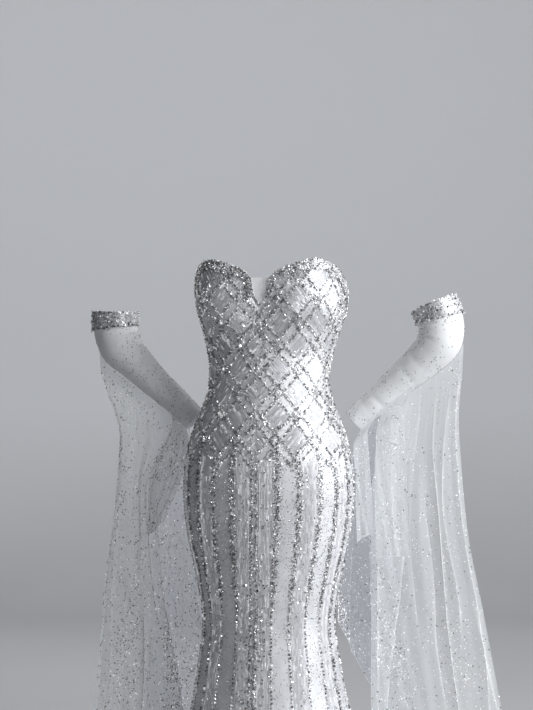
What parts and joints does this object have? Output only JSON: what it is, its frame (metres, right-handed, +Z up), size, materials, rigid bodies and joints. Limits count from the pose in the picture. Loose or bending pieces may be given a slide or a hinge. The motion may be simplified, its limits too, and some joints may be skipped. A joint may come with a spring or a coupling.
{
  "type": "mermaid wedding dress",
  "caption": "Strapless beaded mermaid wedding gown with a sweetheart neck, deep V notch, flared hem and detached net sleeves with elbow cuffs and long floor-length wings.",
  "frame": {"origin": "centre of the waist, where the wearer's waist holds the gown up", "axes": "+Z up along the gown, the front faces -Y, the wearer's left is +X"},
  "size_m": [0.9995, 0.6238, 1.3296],
  "materials": {
    "beaded_cloth": "silver-white net covered in crystals, sequins and satin bugle beads",
    "sheer_net": "sheer off-white tulle with scattered glitter and small crystals",
    "crystal_trim": "densely sewn clear and smoky crystals",
    "zip_metal": "polished silver-coloured metal"
  },
  "bodies": {
    "dress": {"gown_front_center": "beaded_cloth", "gown_side_front_left": "beaded_cloth", "gown_side_front_right": "beaded_cloth", "gown_side_back_left": "beaded_cloth", "gown_side_back_right": "beaded_cloth", "gown_back_left": "beaded_cloth", "gown_back_right": "beaded_cloth", "notch_insert": "sheer_net", "neck_trim_front_left": "crystal_trim", "neck_trim_front_right": "crystal_trim", "neck_trim_back_left": "crystal_trim", "neck_trim_back_right": "crystal_trim", "sleeve_cuff_left": "crystal_trim", "sleeve_cuff_right": "crystal_trim", "sleeve_left": "sheer_net", "sleeve_right": "sheer_net", "wing_left": "sheer_net", "wing_right": "sheer_net", "wing_back_left": "sheer_net", "wing_back_right": "sheer_net", "wrist_flounce_left": "sheer_net", "wrist_flounce_right": "sheer_net", "forearm_flounce_left": "sheer_net", "zip_slider": "zip_metal"},
    "pull_tab": {"zip_pull_tab": "zip_metal"}
  },
  "joints": [
    {"name": "zip_pull_hinge", "type": "hinge", "parent": "dress", "child": "pull_tab", "pos_m": [0, 0.12465, 0.10915], "axis": [1, 0, 0], "range_deg": [0, 150]}
  ]
}
